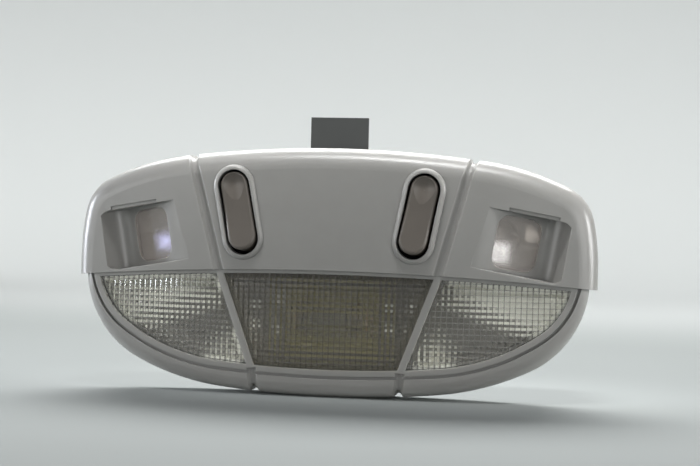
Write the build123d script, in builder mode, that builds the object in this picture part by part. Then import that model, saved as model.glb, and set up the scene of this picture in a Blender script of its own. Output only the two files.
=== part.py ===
from build123d import *
from math import atan2, cos, degrees, radians, sin
import os

# Car dome light with two map lamps and two rocker switches, in millimetres.
# X runs to the right and Z up across the face. The face looks along -Y, and the back goes to the roof.
# The origin lies midway between the two fixing-screw holes, on the plane that seats against the roof.
# Places on the face are given from the split line between its upper and lower halves.

# Outline of the front moulding
half_width = 100.0  # mid-plane to the widest point
rise = 50.6  # split line to the top edge
drop = 43.2  # split line to the bottom edge
split_rise = 4.5  # how far the split line arches up between its ends
split_height = 14.0  # fixing screws to the split line
top_radius = 445.0
top_turn = 7.5
shoulder_turn = 18.5
corner_radius = 17.5
corner_turn = 52.0
side_radius = 90.0
bottom_radius = 400.0
bottom_turn = 6.0
belly_turn = 20.0
flank_radius = 38.0
flank_turn = 60.0
side_step = 3.0  # widest point to the lower half's side at the split line

# Section of the front moulding
face_out = 18.5  # seat plane to the face at mid-width
crown_radius = 667.0  # the face bows about an upright axis
step_in = 1.7  # the lower half lies this far behind the upper one
top_fillet = 8.0  # rim of the upper half
rim_fillet = 5.0  # rim of the lower half
wall = 2.4
skin = 2.4
joggle = 2.5  # overlap of the two halves' skins at the split line

# Panel lines
panel_top = 53.6  # half spacing of the V-grooves at the top edge
panel_knee = 41.5  # the same at the split line
panel_foot = 28.4  # the same below the lenses
panel_end = 27.6  # the same at the bottom edge
knee_height = 2.5
foot_height = -33.0
groove_mouth = 2.2  # half width at the face
groove_entry = 20.0
groove_round = 1.3
groove_turn = 55.0
groove_floor = 0.45
groove_depth = 1.6
groove_lead = 0.15

# Lens field
rim_band = 7.6  # bottom edge to the bead groove
rim_band_side = 7.1  # widest point to the bead groove at the split line
bead_radius = 480.0
bead_turn = 5.0
bead_belly_turn = 30.0
bead_flank_radius = 31.0
bead_flank_turn = 40.0
bead_groove = 1.2
bead_groove_depth = 1.1
bead_width = 2.2
window_drop = 1.4  # split line to the lens windows
mullion = 2.6

# Lenses
lens_fit = 0.15
lens_sink = 0.4
lens_border = 1.7
lens_flange = 1.0
flange_thickness = 0.9
flange_gap = 0.1
flute_pitch = 2.1
flute_depth = 0.65

# Map lamp scoops
scoop_inset = 25.5  # widest point to the middle of a scoop
scoop_height = 15.5
scoop_tilt = 10.0
mouth_half_length = 16.0
mouth_half_height = 11.5
mouth_corner = 6.0
ramp_run = 17.5
ramp_angle = 31.0
ramp_turn = 25.0  # the blend meets the face at the rest of the ramp's angle
scoop_lead = 3.0
ramp_blend = 14.0
floor_fillet = 5.0
wall_lean = 24.0
scoop_skin = 2.0
lip_length = 19.0
lip_width = 1.3
lip_depth = 0.7
map_window_length = 18.5
map_window_height = 20.0
map_window_corner = 4.5
map_lens_flange = 1.5

# Rocker buttons
button_x = 34.2
button_height = 25.6
button_tilt = 10.9
button_length = 29.8
button_width = 10.4
button_side_gap = 0.95
button_end_gap = 1.3
rocker_travel = 10.0
rocker_valley = 6.3  # pivot to the face of the rocker at mid-length
rocker_skirt = 2.5  # pivot to the lower edge of the rocker
rocker_wall = 1.6
rocker_crown = 2.0
pivot_out = 13.0
pin_radius = 1.2
pin_clearance = 0.05
ear_thickness = 1.8
ear_length = 7.0
collar_margin = 1.8
collar_out = 19.3
collar_fillet = 1.5
dish_radius = 7.5
dish_depth = 1.3
dish_length = 9.5
dish_fade = 8.0
button_round = 1.1

# Rear housing
plate_back = 1.0  # seat plane to the back of the plate
plate_thickness = 2.2
housing_fit = 0.4
skirt_thickness = 1.6
tub_fit = 0.4
tub_wall = 1.8
tub_back = 12.3
tub_inner_reach = 22.0
fixing_half_spacing = 26.0
fixing_hole_radius = 2.4
fixing_boss_radius = 6.0
fixing_head_radius = 5.0

# Housing screws
screw_inset = 20.0  # widest point to an upper screw
screw_drop = 17.1  # top edge to an upper screw
screw_half_spacing = 20.0  # mid-plane to a lower screw
screw_rise = 6.3  # bottom edge to a lower screw
screw_radius = 1.5
screw_fit = 0.05
screw_length = 10.0
screw_head_radius = 2.9
screw_head = 2.0
screw_cross = 0.7
screw_boss_radius = 3.2
screw_hole_fit = 0.25

# Map lamps, along the lamp axis from the ramp
map_lens_sink = 0.2
map_lens_thickness = 3.2
map_lens_gap = 0.05
bowl_front = 3.5
bowl_back = 16.2
bowl_rim_radius = 12.6
bowl_waist_radius = 11.4
bowl_neck_radius = 8.3
bowl_wall = 1.1
collar_radius = 10.0
holder_radius = 7.4
holder_fit = 0.2
holder_nose = 17.0
holder_seat = 24.5
holder_flange_radius = 10.6
holder_flange = 2.5
holder_grip = 5.0
holder_grip_width = 4.0
map_bulb_radius = 5.0
map_bulb_tip = 5.0
map_bulb_shoulder = 15.0
map_bulb_base_radius = 3.4
map_bulb_end = 19.5
bulb_fit = 0.2

# Dome lamp
bulb_out = 8.9
bulb_radius = 4.0
bulb_half_length = 8.6
bulb_end_round = 1.4
cap_radius = 3.4
cap_length = 3.8
cap_cone = 2.2
cap_tip_radius = 1.2
terminal_inside = 13.3
terminal_thickness = 0.6
terminal_width = 7.0
terminal_tip = 11.4
terminal_tail = 0.2
terminal_fit = 0.1
tray_fit = 0.3
tray_floor = 0.8
tray_out = 12.6
shield_half_width = 21.0
shield_thickness = 0.4
shield_flat = 12.5
shield_lip = 2.6

# Switches
switch_length = 25.0
switch_width = 11.0
switch_wall = 1.4
switch_front = 8.4
switch_floor = 2.9
switch_back = -6.0
switch_flange = 1.3
switch_flange_thickness = 1.6
switch_fit = 0.2
blade_thickness = 0.8
blade_width = 4.0
blade_spacing = 10.0
blade_back = -11.0
stem_radius = 3.0
stem_end = 7.5
bore_radius = 1.65
bore_top = 1.5
plunger_fit = 0.05
plunger_top = 4.1
plunger_tip = 9.8
spring_wire = 0.4
spring_turns = 6

# Lead frame and connector
strip_width = 4.0
strip_thickness = 0.8
strip_gap = 0.3
connector_height = 24.0
connector_width = 20.0
connector_depth = 12.0
connector_length = 11.0
connector_wall = 1.4
connector_floor = 1.6
pin_count = 4
pin_spacing = 4.0
pin_width = 1.0
pin_thickness = 0.6
pin_end = 8.0

# Locating tongue
tongue_half_width = 11.25
tongue_top = 63.0
tongue_foot = 32.5
tongue_bend = 44.0
tongue_thickness = 1.0
tongue_step = 4.0
rivet_half_spacing = 6.0
rivet_height = 38.0
rivet_radius = 1.5
rivet_head_radius = 2.8
rivet_head = 1.0

# Derived places
FRONT = Plane(origin=(0, 0, split_height), x_dir=(1, 0, 0), z_dir=(0, -1, 0))
face_low = face_out - step_in
scoop_x = half_width - scoop_inset
split_radius = (half_width**2 + split_rise**2) / (2 * split_rise)
window_inset = bead_groove / 2 + bead_width
far = 4 * half_width


def sine(angle):
    return sin(radians(angle))


def cosine(angle):
    return cos(radians(angle))


def face_at(x, out=face_out):
    """How far the bowed face stands out at a place across the lamp."""
    return out - crown_radius + (crown_radius**2 - x**2) ** 0.5


def spot(x, height, out):
    """A point of the lamp from its place on the face."""
    return Vector(x, -out, height + split_height)


def bridging_radius(reach, known, first, last):
    """Radius of the arc that makes a chain of arcs reach a given half width."""
    return (reach - known) / (sine(last) - sine(first))


def arc_outline(start, radii, turns, end_height):
    """Tangent arcs from the mid-plane to the side, a straight run to end_height, mirrored and closed."""
    with BuildLine() as outline:
        place, heading = start, (1, 0)
        for radius, turn in zip(radii, turns):
            arc = JernArc(place, heading, radius, turn)
            place, heading = arc @ 1, arc % 1
        side = Line(place, place + heading * ((end_height - place.Y) / heading.Y))
        mirror(about=Plane.YZ)
        Line(side @ 1, (-(side @ 1).X, end_height))
    return outline.line


def upper_outline(inset):
    second = top_turn + shoulder_turn
    third = second + corner_turn
    known = top_radius * sine(top_turn) + corner_radius * (sine(third) - sine(second))
    known += side_radius * (1 - sine(third))
    shoulder_radius = bridging_radius(half_width, known, top_turn, second)
    radii = [radius - inset for radius in (top_radius, shoulder_radius, corner_radius, side_radius)]
    turns = (-top_turn, -shoulder_turn, -corner_turn, third - 90)
    return arc_outline((0, rise - inset), radii, turns, -split_rise)


def lower_outline(inset):
    second = bottom_turn + belly_turn
    third = second + flank_turn
    known = bottom_radius * sine(bottom_turn) + flank_radius * (sine(third) - sine(second))
    belly_radius = bridging_radius(half_width - side_step, known, bottom_turn, second)
    radii = [radius - inset for radius in (bottom_radius, belly_radius, flank_radius)]
    return arc_outline((0, inset - drop), radii, (bottom_turn, belly_turn, flank_turn), 2 * split_rise)


def bead_outline(inset):
    second = bead_turn + bead_belly_turn
    third = second + bead_flank_turn
    known = bead_radius * sine(bead_turn) + bead_flank_radius * (sine(third) - sine(second))
    belly_radius = bridging_radius(half_width - rim_band_side, known, bead_turn, second)
    radii = [radius - inset for radius in (bead_radius, belly_radius, bead_flank_radius)]
    turns = (bead_turn, bead_belly_turn, bead_flank_turn)
    return arc_outline((0, inset + rim_band - drop), radii, turns, 2 * split_rise)


def half_face(outline, lift, keep):
    """The part of an outline above or below the split line, which may be lifted."""
    with BuildSketch(FRONT) as face:
        make_face(outline)
        with Locations((0, split_rise + lift - split_radius)):
            Circle(split_radius, mode=keep)
    return face.sketch


def lens_field(gap, out=0):
    """The whole field of the lenses as one face, with its edge drawn in by a gap."""
    with BuildSketch(FRONT.offset(out)) as field:
        make_face(bead_outline(window_inset + gap))
        with Locations((0, split_rise - window_drop - gap - split_radius)):
            Circle(split_radius, mode=Mode.INTERSECT)
    return field.sketch


def windows(gap):
    """The three lens windows, with their edges drawn in by a gap."""
    tilt = degrees(atan2(panel_knee - panel_foot, knee_height - foot_height))
    middle = ((panel_knee + panel_foot) / 2, (knee_height + foot_height) / 2)
    with BuildSketch(FRONT) as faces:
        add(FRONT.to_local_coords(lens_field(gap)))
        for side in (-1, 1):
            with Locations((side * middle[0], middle[1])):
                Rectangle(mullion + 2 * gap, 2 * drop, rotation=-side * tilt, mode=Mode.SUBTRACT)
    return faces.sketch


def crowned(profile, out):
    """A profile carried from the seat plane to a bowed face."""
    with BuildPart() as block:
        extrude(profile, amount=out + 1)
        with Locations((0, crown_radius - out, 0)):
            Cylinder(crown_radius, far, mode=Mode.INTERSECT)
    return block.part


def rim_edges(block):
    """Edges of the bowed face, apart from the one along the split line."""
    face = block.faces().filter_by(GeomType.CYLINDER).sort_by(SortBy.AREA)[-1]
    return face.edges().filter_by(lambda edge: abs(edge.center().X) > 1)


def panel_groove(low, high, out, bend):
    """A round-shouldered groove that runs along the face and then back over the bend of the rim."""
    with BuildLine() as path:
        FilletPolyline(
            spot(*low, face_at(low[0], out)),
            spot(*high, face_at(high[0], out)),
            spot(*high, -1),
            radius=bend,
        )
    along = path.line % 0
    with BuildPart() as groove:
        with BuildSketch(Plane(origin=path.line @ 0, x_dir=Vector(0, 1, 0).cross(along), z_dir=along)):
            with BuildLine():
                start = (-groove_mouth, -groove_lead)
                heading = (cosine(groove_entry), sine(groove_entry))
                shoulder = JernArc(start, heading, groove_round, groove_turn)
                Polyline(shoulder @ 1, (-groove_floor, groove_depth), (0, groove_depth))
                Polyline(start, (-groove_mouth, -groove_depth), (0, -groove_depth))
                mirror(about=Plane.YZ)
            make_face()
        sweep(path=path.line)
    return groove.part


def mirrored(piece):
    """The same piece on the other side of the lamp."""
    with BuildPart() as other:
        mirror(piece, about=Plane.YZ)
    return other.part


def both_sides(piece):
    return piece, mirrored(piece)


def scoop_profile(grow):
    """Section of a scoop, or of its skin where it grows: blend, ramp, floor fillet and leaning wall."""
    entry = ramp_angle - ramp_turn
    above = face_at(scoop_x - mouth_half_length) + scoop_lead * sine(entry)
    start = Vector(-mouth_half_length - scoop_lead, above) - Vector(sine(entry), cosine(entry)) * grow
    top = face_out + floor_fillet
    with BuildLine() as section:
        blend = JernArc(start, (cosine(entry), -sine(entry)), ramp_blend - grow, -ramp_turn)
        ramp = Line(blend @ 1, blend @ 1 + (blend % 1) * (ramp_run / cosine(ramp_angle)))
        bottom = JernArc(ramp @ 1, ramp % 1, floor_fillet + grow, 90 - wall_lean + ramp_angle)
        side = Line(bottom @ 1, bottom @ 1 + (bottom % 1) * ((top - (bottom @ 1).Y) / (bottom % 1).Y))
        Polyline(side @ 1, (start.X, top), start)
    return section.line, ramp @ 0.5


def scoop_plan(reach, length, half_height, corner):
    """Rounded plan of a scoop on the face, from its outer end back along the ramp."""
    with BuildSketch(FRONT.offset(-tub_back)) as plan:
        with Locations(Location((scoop_x, scoop_height), -scoop_tilt)):
            with Locations((reach - length / 2, 0)):
                RectangleRounded(length, 2 * half_height, corner)
    return plan.sketch


def scoop(grow):
    """The hollow of a map lamp scoop, or the block that carries its skin."""
    with BuildPart() as block:
        with BuildSketch(SCOOP):
            make_face(scoop_profile(grow)[0])
        extrude(amount=mouth_half_height + grow, both=True)
        plan = scoop_plan(
            mouth_half_length + grow,
            3 * mouth_half_length,
            mouth_half_height + grow,
            mouth_corner + grow,
        )
        extrude(plan, amount=far, mode=Mode.INTERSECT)
    return block.part


def slot_block(plane, length, width, height):
    """An upright block with rounded ends, as long as a button."""
    with BuildPart() as block:
        with BuildSketch(plane):
            SlotOverall(length, width, rotation=90)
        extrude(amount=height)
    return block.part


def rod(plane, radius, length, both=False):
    with BuildPart() as block:
        with BuildSketch(plane):
            Circle(radius)
        extrude(amount=length, both=both)
    return block.part


def strip(points, plane, width, thickness):
    """A flat strip of a given width along straight runs."""
    with BuildPart() as block:
        with BuildSketch(plane):
            with BuildLine() as path:
                Polyline(*points)
            trace(path.line, line_width=width)
        extrude(amount=thickness)
    return block.part


# Planes of the map lamps and the rockers on the right-hand side
SCOOP = Plane(
    origin=spot(scoop_x, scoop_height, 0),
    x_dir=(cosine(scoop_tilt), 0, -sine(scoop_tilt)),
    z_dir=(-sine(scoop_tilt), 0, -cosine(scoop_tilt)),
)
LAMP = Plane(
    origin=SCOOP.from_local_coords(scoop_profile(0)[1]),
    x_dir=SCOOP.x_dir * cosine(ramp_angle) - SCOOP.y_dir * sine(ramp_angle),
    z_dir=SCOOP.x_dir * sine(ramp_angle) + SCOOP.y_dir * cosine(ramp_angle),
)
LAMP_SECTION = Plane(origin=LAMP.origin, x_dir=LAMP.x_dir, z_dir=-LAMP.y_dir)
LAMP_AXIS = Axis(LAMP.origin, LAMP.z_dir)
BUTTON = Plane(
    origin=spot(button_x, button_height, 0),
    x_dir=(cosine(button_tilt), 0, -sine(button_tilt)),
    z_dir=(0, -1, 0),
)
ROCKER = BUTTON.offset(pivot_out).rotated((-rocker_travel / 2, 0, 0))
ROCKER_SIDE = Plane(origin=ROCKER.origin, x_dir=ROCKER.y_dir, z_dir=ROCKER.x_dir)
BULB = Plane(origin=(0, -bulb_out, 0), x_dir=(0, 0, 1), z_dir=(1, 0, 0))
plate_front = plate_back + plate_thickness
screw_corners = ((half_width - screw_inset, rise - screw_drop), (screw_half_spacing, screw_rise - drop))
screw_places = [(side * x, height) for x, height in screw_corners for side in (-1, 1)]
fixing_places = [(side * fixing_half_spacing, -split_height) for side in (-1, 1)]
rivet_places = [(side * rivet_half_spacing, rivet_height) for side in (-1, 1)]

# Front moulding: the two halves before they are joined
top_edge = rise - top_radius + (top_radius**2 - panel_top**2) ** 0.5
bottom_edge = bottom_radius - drop - (bottom_radius**2 - panel_end**2) ** 0.5
top_groove = panel_groove((panel_knee, knee_height), (panel_top, top_edge), face_out, top_fillet)
bottom_groove = panel_groove((panel_foot, foot_height), (panel_end, bottom_edge), face_low, rim_fillet)

with BuildPart() as upper:
    add(crowned(half_face(upper_outline(0), 0, Mode.SUBTRACT), face_out))
    fillet(rim_edges(upper), radius=top_fillet)
    for groove in both_sides(top_groove):
        add(groove, mode=Mode.SUBTRACT)

with BuildSketch(FRONT) as bead_ring:
    make_face(bead_outline(-bead_groove / 2))
    make_face(bead_outline(bead_groove / 2), mode=Mode.SUBTRACT)
    with Locations((0, split_rise - split_radius)):
        Circle(split_radius, mode=Mode.INTERSECT)

with BuildPart() as bead_channel:
    add(crowned(bead_ring.sketch, face_out))
    add(crowned(bead_ring.sketch, face_low - bead_groove_depth), mode=Mode.SUBTRACT)

with BuildPart() as lower:
    add(crowned(half_face(lower_outline(0), 0, Mode.INTERSECT), face_low))
    fillet(rim_edges(lower), radius=rim_fillet)
    for groove in both_sides(bottom_groove):
        add(groove, mode=Mode.SUBTRACT)
    add(bead_channel.part, mode=Mode.SUBTRACT)

# Map lamp scoop: the skin block stays behind the face, the lip is a shallow rebate above the mouth
with BuildPart() as scoop_block:
    add(scoop(scoop_skin))
    behind_face = half_face(upper_outline(wall / 2), 0, Mode.SUBTRACT)
    add(crowned(behind_face, face_out - skin / 2), mode=Mode.INTERSECT)

with BuildSketch(FRONT) as lip_face:
    with Locations(Location((scoop_x, scoop_height), -scoop_tilt)):
        with Locations((0, mouth_half_height)):
            Rectangle(lip_length, 2 * lip_width)

with BuildPart() as lip:
    add(crowned(lip_face.sketch, face_out + 1))
    add(crowned(lip_face.sketch, face_out - lip_depth), mode=Mode.SUBTRACT)

with BuildPart() as map_opening:
    with BuildSketch(LAMP.offset(-scoop_skin - 1)):
        RectangleRounded(map_window_length, map_window_height, map_window_corner)
    extrude(amount=scoop_skin + 2)

# Button collar and the two ears that hold the rocker's pins
room_length = button_length + 2 * button_end_gap
room_width = button_width + 2 * button_side_gap
button_room = slot_block(BUTTON, room_length, room_width, 2 * face_out)
collar_length = room_length + 2 * collar_margin
collar_width = room_width + 2 * collar_margin
collar_base = face_at(button_x + button_width) - skin
ear_inside = room_width / 2

with BuildPart() as collar:
    add(slot_block(BUTTON.offset(collar_base), collar_length, collar_width, collar_out - collar_base))
    fillet(collar.faces().sort_by(Axis.Y)[0].edges(), radius=collar_fillet)

with BuildPart() as ears:
    with BuildSketch(BUTTON.offset(pivot_out - 2 * pin_radius)):
        for side in (-1, 1):
            with Locations((side * (ear_inside + ear_thickness / 2), 0)):
                Rectangle(ear_thickness, ear_length)
    extrude(amount=collar_base - pivot_out + 2 * pin_radius + skin / 2)
    pin_plane = Plane(origin=ROCKER.origin, x_dir=ROCKER.y_dir, z_dir=ROCKER.x_dir)
    add(rod(pin_plane, pin_radius + pin_clearance, collar_width, both=True), mode=Mode.SUBTRACT)

with BuildPart() as upper_hollow:
    add(crowned(half_face(upper_outline(wall), joggle, Mode.SUBTRACT), face_out - skin))
    fillet(rim_edges(upper_hollow), radius=top_fillet - wall)

with BuildPart() as bezel:
    add(upper.part)
    add(lower.part)
    add(upper_hollow.part, mode=Mode.SUBTRACT)
    add(crowned(half_face(lower_outline(wall), joggle, Mode.INTERSECT), face_low - skin), mode=Mode.SUBTRACT)
    extrude(windows(0), amount=far, mode=Mode.SUBTRACT)
    for place in screw_places:
        out = face_at(place[0], face_out if place[1] > 0 else face_low) - skin / 2
        pilot = rod(FRONT * Pos(*place), screw_radius + screw_fit, plate_back + screw_length + 1)
        add(rod(FRONT.offset(plate_front) * Pos(*place), screw_boss_radius, out - plate_front))
        add(pilot, mode=Mode.SUBTRACT)
    for block in (scoop_block.part, collar.part, ears.part):
        for piece in both_sides(block):
            add(piece)
    for block in (scoop(0), lip.part, map_opening.part, button_room):
        for piece in both_sides(block):
            add(piece, mode=Mode.SUBTRACT)

# Prismatic lenses: upright flutes in front, level flutes behind, a plain border and a flange
lens_front = face_low - lens_sink
flange_front = face_low - skin - flange_gap
lens_back = flange_front - flange_thickness
flute_columns = int(half_width / flute_pitch)
flute_rows = int(drop / flute_pitch)

with BuildPart() as front_flutes:
    with BuildSketch(Plane.XY.offset(split_height - drop)):
        with BuildLine():
            ridge = []
            for column in range(-2 * flute_columns, 2 * flute_columns + 1):
                x = column * flute_pitch / 2
                ridge.append((x, -face_at(x, lens_front) + (column % 2) * flute_depth))
            Polyline(*ridge)
            Polyline(ridge[-1], (ridge[-1][0], -2 * face_out), (ridge[0][0], -2 * face_out), ridge[0])
        make_face()
    extrude(amount=2 * drop)
    extrude(windows(lens_fit + lens_border), amount=far, mode=Mode.INTERSECT)

with BuildPart() as back_flutes:
    with BuildSketch(Plane.YZ):
        with BuildLine():
            ridge = []
            for row in range(-2 * flute_rows, flute_rows + 1):
                ridge.append((-lens_back - (row % 2) * flute_depth, row * flute_pitch / 2 + split_height))
            Polyline(*ridge)
            Polyline(ridge[-1], (0, ridge[-1][1]), (0, ridge[0][1]), ridge[0])
        make_face()
    revolve(axis=Axis((0, crown_radius - lens_back, 0), (0, 0, 1)))
    extrude(windows(lens_fit + lens_border), amount=far, mode=Mode.INTERSECT)

with BuildPart() as lens_set:
    add(crowned(windows(lens_fit), lens_front))
    add(crowned(windows(-lens_flange), flange_front))
    add(crowned(lens_field(-2 * lens_flange), lens_back), mode=Mode.SUBTRACT)
    add(front_flutes.part, mode=Mode.SUBTRACT)
    add(back_flutes.part, mode=Mode.SUBTRACT)

left_lens, centre_lens, right_lens = [Part([lens]) for lens in lens_set.part.solids().sort_by(Axis.X)]

# Map lens: a smooth window in the ramp, with a flange behind it
with BuildPart() as map_lens:
    with BuildSketch(LAMP.offset(-map_lens_sink)):
        RectangleRounded(
            map_window_length - 2 * lens_fit,
            map_window_height - 2 * lens_fit,
            map_window_corner - lens_fit,
        )
    extrude(amount=map_lens_sink - map_lens_thickness)
    with BuildSketch(LAMP.offset(-scoop_skin - map_lens_gap)):
        RectangleRounded(
            map_window_length + 2 * map_lens_flange,
            map_window_height + 2 * map_lens_flange,
            map_window_corner + map_lens_flange,
        )
    extrude(amount=scoop_skin + map_lens_gap - map_lens_thickness)

# Rocker button: dished face, finger scoop in its upper half, hollow below, with a stem and two pins
rocker_rise = button_length / 2 * sine(rocker_travel / 2) / cosine(rocker_travel / 2)
end_radius = button_width / 2
dish_height = rocker_valley + rocker_rise / 2 + dish_radius - dish_depth
dish_centre = (0, button_length / 2 - end_radius, dish_height)

with BuildPart() as button:
    add(slot_block(ROCKER.offset(-rocker_skirt), button_length, button_width, 2 * face_out))
    with BuildSketch(ROCKER_SIDE):
        with BuildLine():
            tip = (button_length, rocker_valley + 4 * rocker_rise)
            ThreePointArc((-tip[0], tip[1]), (0, rocker_valley), tip)
            Polyline(tip, (tip[0], -rocker_skirt), (-tip[0], -rocker_skirt), (-tip[0], tip[1]))
        make_face()
    extrude(amount=button_width, both=True, mode=Mode.INTERSECT)
    fillet(button.faces().sort_by(Axis.Y)[0].edges(), radius=button_round)
    with Locations(ROCKER.location * Pos(*dish_centre)):
        Sphere(dish_radius, mode=Mode.SUBTRACT)
    dish_run = Vector(0, -cosine(dish_fade), sine(dish_fade))
    dish_plane = Plane(
        origin=ROCKER.from_local_coords(dish_centre),
        z_dir=ROCKER.y_dir * dish_run.Y + ROCKER.z_dir * dish_run.Z,
    )
    add(rod(dish_plane, dish_radius, dish_length), mode=Mode.SUBTRACT)
    hollow_top = rocker_valley - rocker_crown
    add(
        slot_block(
            ROCKER.offset(-rocker_skirt),
            button_length - 2 * rocker_wall,
            button_width - 2 * rocker_wall,
            rocker_skirt + hollow_top,
        ),
        mode=Mode.SUBTRACT,
    )
    add(rod(ROCKER.offset(-stem_end), stem_radius, stem_end + hollow_top))
    add(rod(ROCKER_SIDE, pin_radius, ear_inside + ear_thickness, both=True))
    add(rod(ROCKER.offset(-stem_end), bore_radius, stem_end + bore_top), mode=Mode.SUBTRACT)

plunger_radius = bore_radius - plunger_fit
with BuildPart() as plunger:
    nose = ROCKER.offset(plunger_radius - plunger_tip)
    add(rod(nose, plunger_radius, plunger_tip - plunger_radius - plunger_top))
    with Locations(nose.location):
        Sphere(plunger_radius)

spring_height = bore_top + plunger_top - spring_wire - 2 * plunger_fit
with BuildPart() as spring:
    with BuildLine():
        coil = Helix(
            spring_height / spring_turns,
            spring_height,
            bore_radius - spring_wire / 2 - plunger_fit,
            center=ROCKER.offset(-plunger_top + spring_wire / 2 + plunger_fit).origin,
            direction=ROCKER.z_dir,
        )
    with BuildSketch(Plane(origin=coil @ 0, z_dir=coil % 0)):
        Circle(spring_wire / 2)
    sweep(path=coil)

# Switch body under the rocker, with two blades through its floor
with BuildPart() as blades:
    with BuildSketch(BUTTON.offset(blade_back)):
        with GridLocations(0, blade_spacing, 1, 2):
            Rectangle(blade_width, blade_thickness)
    extrude(amount=switch_floor - blade_back)

with BuildPart() as switch_body:
    with BuildSketch(BUTTON.offset(switch_back)):
        Rectangle(switch_width, switch_length)
    extrude(amount=switch_front - switch_back)
    with BuildSketch(BUTTON.offset(plate_front)):
        Rectangle(switch_width + 2 * switch_flange, switch_length + 2 * switch_flange)
    extrude(amount=switch_flange_thickness)
    with BuildSketch(BUTTON.offset(switch_floor)):
        Rectangle(switch_width - 2 * switch_wall, switch_length - 2 * switch_wall)
    extrude(amount=switch_front, mode=Mode.SUBTRACT)
    add(blades.part, mode=Mode.SUBTRACT)

# Map lamp behind the ramp: bowl, wedge bulb and twist-in holder, all about the lamp axis
with BuildPart() as map_reflector:
    with BuildSketch(LAMP_SECTION):
        with BuildLine():
            middle = (bowl_front + bowl_back) / 2
            inner = ThreePointArc(
                (bowl_rim_radius, -bowl_front),
                (bowl_waist_radius, -middle),
                (bowl_neck_radius, -bowl_back),
            )
            outer = ThreePointArc(
                (bowl_rim_radius + bowl_wall, -bowl_front),
                (bowl_waist_radius + bowl_wall, -middle),
                (bowl_neck_radius + bowl_wall, -bowl_back),
            )
            Line(inner @ 0, outer @ 0)
            Line(inner @ 1, outer @ 1)
        make_face()
    revolve(axis=LAMP_AXIS)

with BuildPart() as map_bulb:
    with BuildSketch(LAMP_SECTION):
        with BuildLine():
            dome = JernArc((0, -map_bulb_tip), (1, 0), map_bulb_radius, -90)
            neck = map_bulb_shoulder + map_bulb_radius - map_bulb_base_radius
            Polyline(
                dome @ 1,
                (map_bulb_radius, -map_bulb_shoulder),
                (map_bulb_base_radius, -neck),
                (map_bulb_base_radius, -map_bulb_end),
                (0, -map_bulb_end),
                (0, -map_bulb_tip),
            )
        make_face()
    revolve(axis=LAMP_AXIS)

with BuildPart() as bulb_holder:
    add(rod(LAMP.offset(-holder_seat), holder_radius, holder_seat - holder_nose))
    add(rod(LAMP.offset(-holder_seat), holder_flange_radius, -holder_flange))
    add(rod(LAMP.offset(-map_bulb_end), map_bulb_base_radius + bulb_fit, map_bulb_end), mode=Mode.SUBTRACT)
    with BuildSketch(LAMP.offset(-holder_seat - holder_flange)):
        SlotOverall(2 * holder_radius, holder_grip_width)
    extrude(amount=-holder_grip)

# Dome lamp: festoon bulb across the middle, its caps, terminals, tray and heat shield
with BuildPart() as dome_bulb:
    add(rod(BULB, bulb_radius, bulb_half_length, both=True))
    fillet(dome_bulb.edges().filter_by(GeomType.CIRCLE), radius=bulb_end_round)

with BuildPart() as cap:
    with BuildSketch(Plane(origin=BULB.origin, x_dir=(1, 0, 0), z_dir=(0, 0, 1))):
        cone_start = bulb_half_length + cap_length
        Polygon(
            (bulb_half_length, 0),
            (bulb_half_length, cap_radius),
            (cone_start, cap_radius),
            (cone_start + cap_cone, cap_tip_radius),
            (cone_start + cap_cone, 0),
            align=None,
        )
    revolve(axis=Axis(BULB.origin, (1, 0, 0)))

with BuildPart() as dome_bulb_caps:
    for piece in both_sides(cap.part):
        add(piece)

hole_at = (terminal_inside - bulb_half_length - cap_length) / cap_cone
terminal_hole = cap_radius - (cap_radius - cap_tip_radius) * hole_at + terminal_fit
with BuildPart() as dome_terminal:
    with BuildSketch(BULB.offset(terminal_inside)):
        with Locations((0, (terminal_tip + terminal_tail) / 2 - bulb_out)):
            Rectangle(terminal_width, terminal_tip - terminal_tail)
        Circle(terminal_hole, mode=Mode.SUBTRACT)
    extrude(amount=terminal_thickness)

with BuildPart() as terminal_slot:
    with BuildSketch(FRONT):
        with Locations((terminal_inside + terminal_thickness / 2, -split_height)):
            Rectangle(terminal_thickness + 2 * terminal_fit, terminal_width + 2 * terminal_fit)
    extrude(amount=terminal_tip)


with BuildPart() as dome_reflector:
    add(crowned(lens_field(tray_fit, plate_front), tray_out))
    extrude(lens_field(tray_fit + tray_floor, plate_front + tray_floor), amount=far, mode=Mode.SUBTRACT)
    for place in fixing_places:
        add(rod(FRONT * Pos(*place), fixing_head_radius, far), mode=Mode.SUBTRACT)
    for piece in both_sides(terminal_slot.part):
        add(piece, mode=Mode.SUBTRACT)

shield_back = plate_front + tray_floor
with BuildPart() as heat_shield:
    with BuildSketch(Plane.YZ):
        with BuildLine() as shield_path:
            Polyline(
                (-shield_back - shield_thickness / 2 - shield_lip, -shield_flat - shield_lip),
                (-shield_back - shield_thickness / 2, -shield_flat),
                (-shield_back - shield_thickness / 2, shield_flat),
                (-shield_back - shield_thickness / 2 - shield_lip, shield_flat + shield_lip),
            )
        trace(shield_path.line, line_width=shield_thickness)
    extrude(amount=shield_half_width, both=True)
    for piece in both_sides(terminal_slot.part):
        add(piece, mode=Mode.SUBTRACT)

# Rear housing: plate, skirt, slanted lamp tubs, fixing bosses and the openings for the switches


def tub_plan(grow):
    """Plan of a lamp tub's room, or of its outside where it grows by a wall."""
    reach = mouth_half_length + scoop_skin + tub_fit
    half_height = mouth_half_height + scoop_skin + tub_fit + grow
    length = reach + tub_inner_reach + 2 * grow
    return scoop_plan(reach + grow, length, half_height, mouth_corner + scoop_skin + grow)


with BuildPart() as tub:
    extrude(tub_plan(tub_wall), amount=tub_back + plate_front)
    with BuildSketch(LAMP.offset(-holder_seat)):
        Rectangle(far, far)
    extrude(amount=-far, mode=Mode.SUBTRACT)

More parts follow.
